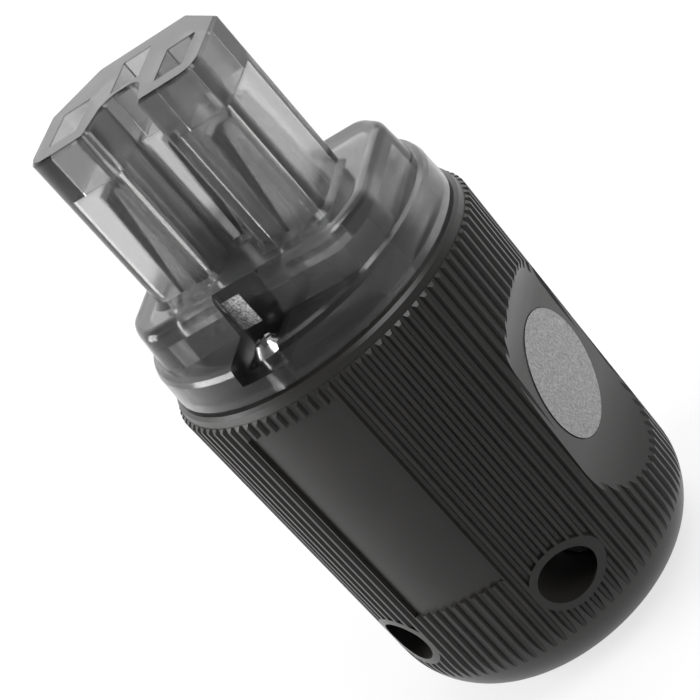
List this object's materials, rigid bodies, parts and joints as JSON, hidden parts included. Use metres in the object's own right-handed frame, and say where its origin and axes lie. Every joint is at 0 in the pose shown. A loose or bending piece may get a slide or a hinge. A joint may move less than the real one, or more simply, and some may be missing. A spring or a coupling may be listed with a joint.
{
  "type": "iec power connector",
  "caption": "Rewireable keyed appliance connector with a smoked clear nose and flange on a black fluted shell with grip flats, label disc and cable entry.",
  "frame": {"origin": "centre of the flat rear end, on the axis of the round body", "axes": "+Z from the rear end to the tip of the nose, +X towards the labelled grip, -Y towards the keyed side of the nose"},
  "size_m": [0.0382, 0.0382, 0.0777],
  "materials": {
    "smoked_polycarbonate": "clear smoked moulding, polished",
    "black_nylon": "fine matt moulding",
    "dark_phenolic": "plain moulding",
    "plated_brass": "silver-grey plating",
    "bright_screw": "bright plated",
    "label_foil": "grained silver foil"
  },
  "bodies": {
    "root": {"front_housing": "smoked_polycarbonate", "rear_shell": "black_nylon", "contact_carrier": "dark_phenolic", "line_contact": "plated_brass", "neutral_contact": "plated_brass", "earth_contact": "plated_brass", "terminal_screws": "bright_screw", "housing_screws": "bright_screw", "clamp_bar": "black_nylon", "clamp_screws": "bright_screw", "label_disc": "label_foil"}
  },
  "joints": []
}
